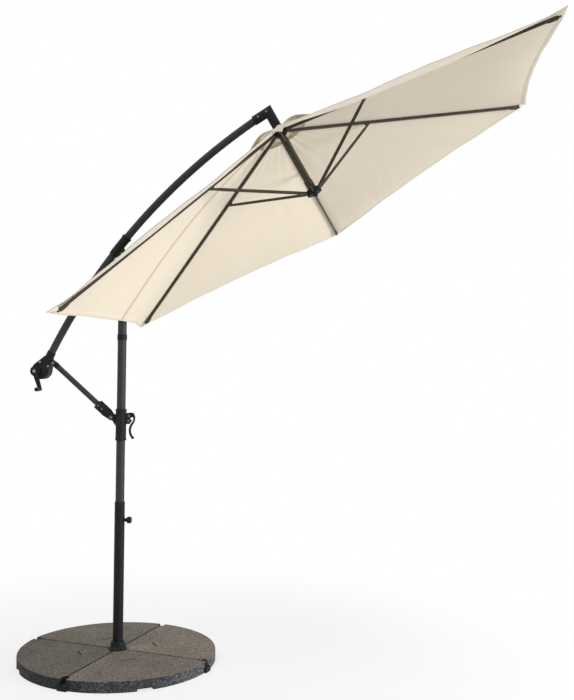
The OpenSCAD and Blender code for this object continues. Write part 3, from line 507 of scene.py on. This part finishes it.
canopyFrame = Matrix((poleOut, Vector((0, 1, 0)), poleUp)).transposed().to_4x4()
canopyFrame.translation = hub


def ribTurn(k):
    return math.radians(-150 + 60 * (k - 1))


def rimAt(t):
    # distance of the rim from the pole, hollowed between the corners
    off = half - abs(t)
    hollow = canopy["rimHollow"] * (1 - (math.tan(off) / math.tan(half)) ** 2)
    return (canopy["reach"] * math.cos(half) - hollow) / math.cos(off)


def overPost(k, t):
    # 1 where the post presses on the panel between ribs 6 and 1, and 0 at both ribs
    toward = max(-t / half if k == 1 else t / half if k == 6 else 0, 0)
    return toward ** 2 * (3 - 2 * toward)


def hemDrop(k, t):
    # how far the free hems either side of rib 2 hang
    if k != 2 and (k, t > 0) not in ((1, True), (3, False)):
        return 0
    side = abs(t) / half
    close = canopy["hemDroop"] * math.sin(math.pi * side ** 0.7) if k == 2 else 0
    return close - canopy["hemLift"] * (1 - (1 - side) ** 2)


def sagShare(k, t):
    if overPost(k, t) > 0:
        return canopy["sagHeld"]
    return canopy["sagTaut"] if (k, t > 0) in ((1, True), (2, False)) else 1


def cornerCurl(k, t, r):
    away = math.hypot(rimAt(0) - r * math.cos(t), r * math.sin(t))
    lifts = canopy["curl"][k - 1]
    reach, power = (canopy["curlLong"], 1.5) if lifts > 0 else (canopy["droopLong"], 2.2)
    return lifts * math.exp(-(away / reach) ** power)


def rippleAt(k, side, u):
    # folds that run in from the corners and out from the vent
    return canopy["ripple"] * math.sin(side * math.pi) * (
        math.exp(-((1 - u) / 0.25)) * math.cos(9 * side * math.pi / 2 + k)
        + math.exp(-u / 0.2) * math.cos(11 * side * math.pi / 2 + 2 * k))


def clothPoint(k, t, fromRim, lift):
    # t is the turn from the rib, fromRim the distance in from the rim
    edge = rimAt(t)
    r = edge - fromRim
    u = (r - canopy["ventHole"]) / (edge - canopy["ventHole"])
    push = overPost(k, t) * max(u, 0) ** canopy["postIn"]
    side = abs(t) / half
    drop = math.tan(canopy["slope"]) * r * math.cos(half - abs(t)) / math.cos(half)
    out = min(max(u, 0), 1)
    sag = canopy["sag"] * sagShare(k, t) * math.sin(math.pi * out ** canopy["sagOut"])
    hollow = sag * (1 - (1 - side) ** 3) + hemDrop(k, t) * out ** 4
    a = ribTurn(k) + t
    return canopyFrame @ Vector((
        r * math.cos(a) + canopy["postPush"] * push,
        r * math.sin(a),
        canopy["rise"] - drop - canopy["postPress"] * push - hollow
        + cornerCurl(k, t, r) + rippleAt(k, side, u) + lift,
    ))


def hangPanel(k, side, cfg):
    # half a panel, from its rib to its middle: the hem's rows come first, then even ones up to the vent
    grid = []
    hemRows = cfg["hemRows"]
    thin = cfg["thick"] / 2
    for i in range(len(hemRows) + cfg["rows"]):
        row = []
        extra = cfg["hemExtra"] if 0 < i < len(hemRows) - 1 else 0
        above, below = thin + extra * 0.4, thin + extra
        if i == 0:
            above = below = thin * 0.9
        for j in range(cfg["cols"] + 1):
            t = half * (j / cfg["cols"] - (side == "left"))
            if i < len(hemRows):
                inward = hemRows[i]
            else:
                length = rimAt(t) - cfg["ventHole"]
                inward = length * (0.03 + 0.97 * (i - len(hemRows)) / (cfg["rows"] - 1))
            cut = ((rimAt(t) - inward) * math.sin(t), inward / math.cos(t) ** 0.5)
            row.append((clothPoint(k, t, inward, above), clothPoint(k, t, inward, -below), cut))
        grid.append(row)
    name = f"canopy_{k}_{side}"
    piece = addFabric(name, sheetMesh(name, grid), f"rib_{k}", cfg["smooth"])
    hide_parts(f"gore_{k}")
    return piece


panels = {(k, side): hangPanel(k, side, canopy) for k in range(1, 7) for side in ("left", "right")}
print("canopy hung")


# seams over the ribs, the tuck over the post and the pockets at the ribs' tips

seam = {
    "wide": 0.016,
    "thick": 0.0008,
    "sunk": 0.0002,  # into the cloth below it
    "stop": 0.001,  # short of the rim, and twice that short of the vent
    "rows": 60,
    "cols": 6,
    "smooth": 50,
}
plainMap = 0.03  # puts sewn pieces clear of the hem's own colour and stitches


def sewSeam(k, cfg):
    grid = []
    off = canopy["thick"] / 2
    length = rimAt(0) - canopy["ventHole"] - 3 * cfg["stop"]
    for i in range(cfg["rows"] + 1):
        inward = cfg["stop"] + length * i / cfg["rows"]
        row = []
        for j in range(cfg["cols"] + 1):
            side = cfg["wide"] * (j / cfg["cols"] - 0.5)
            t = math.atan2(side, rimAt(0) - inward)
            high = cfg["thick"] * (0.15 if j in (0, cfg["cols"]) else 1)
            inset = inward + rimAt(t) - rimAt(0)
            row.append((clothPoint(k, t, inset, off + high), clothPoint(k, t, inset, off - cfg["sunk"]),
                        (side, inward + plainMap)))
        grid.append(row)
    name = f"canopy_seam_{k}"
    return addFabric(name, sheetMesh(name, grid), f"rib_{k}", cfg["smooth"])


tuck = {
    "wide": 0.021,
    "depths": (0.00032, 0.00288, 0.0032, 0.00288, 0.00032),  # across it, below the cloth
    "sunk": 0.0002,
    "turnAtVent": 15,  # degrees from the rib
    "turnAtRim": 24,
    "rows": 60,
    "smooth": 50,
}


def sewTuck(k, cfg):
    # the narrow tuck that takes in the panel over the post, a little off its middle
    grid = []
    off = canopy["thick"] / 2
    across = len(cfg["depths"]) - 1
    for i in range(cfg["rows"] + 1):
        u = 0.03 + 0.965 * i / cfg["rows"]
        t = -math.radians(cfg["turnAtVent"] + (cfg["turnAtRim"] - cfg["turnAtVent"]) * u ** 0.8)
        inward = (rimAt(t) - canopy["ventHole"]) * (1 - u)
        row = []
        for j, deep in enumerate(cfg["depths"]):
            side = cfg["wide"] * (j / across - 0.5)
            turn = t + side / (rimAt(t) - inward)
            row.append((clothPoint(k, turn, inward, cfg["sunk"] - off),
                        clothPoint(k, turn, inward, -off - deep), (side, inward + plainMap)))
        grid.append(row)
    name = f"canopy_tuck_{k}"
    return addFabric(name, sheetMesh(name, grid), f"rib_{k}", cfg["smooth"], shadedTuckFinish)


pocket = {
    "long": 0.051,
    "mouth": 0.0068,
    "deep": 0.0158,
    "wall": 0.0009,
    "lip": 0.006,  # sewn flat to the cloth at both sides
    "start": 0.001,  # in from the corner
    "tip": 0.03,  # share of the full size there
    "spareWide": 0.001,
    "spareDeep": 0.002,
    "rows": 10,
    "cols": 14,
    "smooth": 50,
}


def sewPocket(k, cfg):
    # a sleeve under the corner that the rib's tip sits in
    grid = []
    off = canopy["thick"] / 2
    for i in range(cfg["rows"] + 1):
        along = i / cfg["rows"]  # 0 at the corner
        inward = cfg["start"] + cfg["long"] * along
        grow = min(1, along * 1.14 + cfg["tip"])
        wide = cfg["mouth"] * grow + cfg["spareWide"]
        deep = cfg["deep"] * grow + cfg["spareDeep"]
        row = []
        for j in range(cfg["cols"] + 1):
            turn = math.pi * j / cfg["cols"]
            atLip = j in (0, cfg["cols"])
            # a squared round, flat against the cloth at both ends
            out = -math.copysign(abs(math.cos(turn)) ** 0.45, math.cos(turn))
            down = 0 if atLip else math.sin(turn) ** 0.55
            walls = []
            for thin, clear in ((0.0, 0.0012), (cfg["wall"], 0.0001)):
                side = out * (wide + (cfg["lip"] if atLip else 0) - thin)
                t = math.atan2(side, rimAt(0) - inward)
                inset = inward + rimAt(t) - rimAt(0)
                walls.append(clothPoint(k, t, inset, -off - (deep - thin) * down - clear))
            row.append((*walls, (0.02 * j, 0.04 + inward)))
        grid.append(row)
    name = f"canopy_pocket_{k}"
    return addFabric(name, sheetMesh(name, grid), f"rib_{k}", cfg["smooth"])


fold = {
    "keep": 0.135,  # of each half panel's width when closed
    "from": 0.28,  # metres in from the rim, where the cloth sags most
    "aside": 0.3,  # of the way to the panel's middle
    "anchor": 0.3,  # metres in from the rim, on the rib's own line
}


def foldAxis(k, side, cfg):
    # square to the rib, and down along the cloth beside it
    t = half * cfg["aside"] * (1 if side == "right" else -1)
    ribLine = clothPoint(k, 0, 0, 0) - clothPoint(k, 0, 1, 0)
    across = clothPoint(k, t, cfg["from"], 0) - clothPoint(k, 0, cfg["from"], 0)
    return (across - across.project(ribLine)).normalized()


for (k, side), panel in panels.items():
    folds, sewn = [panel], []
    if side == "right":
        sewn = [sewSeam(k, seam), sewPocket(k, pocket)]
    elif k == 1:
        sewn = [sewTuck(k, tuck)]
        folds += sewn
    axis, anchor = foldAxis(k, side, fold), clothPoint(k, 0, fold["anchor"], 0)
    for piece in folds:
        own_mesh(piece)
print("seams and pockets sewn")


# vent cap

vent = {
    "inner": 0.0305,
    "reach": 0.222,
    "scallop": 0.04,
    "flap": 0.034,
    "collar": 0.012,
    "over": 0.0023,  # above the cloth below it
    "hemExtra": 0.0006,
    "rows": 26,
    "cols": 144,
    "smooth": 40,
    "flat": (0.45, 0.45),
    "area": 0.1377,
}


def ventPoint(turn, u, lift):
    # u runs from 0 at the pole to 1 at the rim
    t = abs(math.degrees(turn) % 60 - 30)
    off = math.sin(math.pi / 2 * t / 30)
    near = math.cos(math.radians(30 - t)) / math.cos(half)
    edge = vent["reach"] / near * (1 - vent["scallop"] * off)
    r = vent["inner"] + (edge - vent["inner"]) * u
    drop = math.tan(canopy["slope"]) * r * near
    a = turn - math.pi
    lifted = vent["over"] + vent["flap"] * off * u + vent["collar"] * (1 - u) + lift
    return canopyFrame @ Vector((r * math.cos(a), r * math.sin(a), canopy["rise"] - drop + lifted))


def hangVentCap(cfg):
    grid = []
    for i in range(cfg["rows"] + 1):
        u = 1 - i / cfg["rows"]
        thin = canopy["thick"] / 2 + (cfg["hemExtra"] if 0 < i < 3 else 0)
        row = []
        for j in range(cfg["cols"]):
            turn = 2 * math.pi * j / cfg["cols"]
            cut = (turn * 0.2, (1 - u) * 0.19 + 0.0003)
            row.append((ventPoint(turn, u, thin), ventPoint(turn, u, -thin), cut))
        grid.append(row)
    mesh = sheetMesh("vent_flap", grid, closed=True)
    piece = addFabric("vent_flap", mesh, "boom", cfg["smooth"], ventFinish)
    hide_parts("vent_cap")


hangVentCap(vent)
print("vent cap fitted")


# studio

studio = {
    "sky": 0.505,
    "keyFrom": (6.0, -1.6, 0.9),
    "keyLevel": 1.96,
    "topFrom": (-2.0, -4.0, 6.0),
    "topLevel": 0.8,
    "soft": math.radians(24),
    "floor": (0.86, 0.86, 0.86, 1),
    "floorWide": 30,
    "fade": (0.6, 2.6),  # metres from the middle between which the floor turns white
    "nearGlow": 0.72,  # share of white that it has up to there
}


def addSun(name, source, level):
    data = bpy.data.lights.new(name, "SUN")
    data.energy = level
    data.angle = studio["soft"]
    lamp = bpy.data.objects.new(name, data)
    lamp.rotation_euler = Vector(source).to_track_quat("Z", "Y").to_euler()
    scene.collection.objects.link(lamp)


def seenDirectly(finish):
    # 1 for what the camera, a reflection or a see-through surface sees
    camera = finish.node("ShaderNodeLightPath", output="Is Camera Ray")
    glossy, clear = camera.beside("Is Glossy Ray"), camera.beside("Is Transmission Ray")
    return camera.maths("MAXIMUM", camera, camera.maths("MAXIMUM", glossy, clear))


class Sky(Finish):
    # the same makers of nodes, on the world's own tree
    def __init__(self):
        self.tree = world.node_tree


world = bpy.data.worlds.new("studioWorld")
world.use_nodes = True
scene.world = world
sky = Sky()
sky.tree.nodes["Background"].inputs["Color"].default_value = (1, 1, 1, 1)
shown = seenDirectly(sky)
sky.feed(sky.tree.nodes["Background"].inputs["Strength"], shown * (1 - studio["sky"]) + studio["sky"])
addSun("keyLamp", studio["keyFrom"], studio["keyLevel"])
addSun("topLamp", studio["topFrom"], studio["topLevel"])

bpy.ops.object.select_all(action="DESELECT")
bpy.ops.mesh.primitive_circle_add(vertices=96, radius=studio["floorWide"], fill_type="NGON",
                                  location=(0, 0, -0.0005))
floor = bpy.context.object
floor.name = "studioFloor"
ground = Finish("paleFloor", Base_Color=studio["floor"], Roughness=0.9)
distance = ground.node("ShaderNodeVectorMath", {"operation": "LENGTH"}, {0: ground.place}, "Value")
glow = ground.node("ShaderNodeEmission", None, {"Color": (1, 1, 1, 1), "Strength": 1.0})
fade = ground.step(distance, *studio["fade"]) * (1 - studio["nearGlow"]) + studio["nearGlow"]
blend = ground.node("ShaderNodeMixShader", None, {0: seenDirectly(ground) * fade, 2: glow})
ground.tree.links.new(ground.shader.outputs[0], blend.socket.node.inputs[1])
ground.tree.links.new(blend.socket, ground.tree.nodes["Material Output"].inputs["Surface"])
floor.data.materials.append(ground.material)
print("studio set")
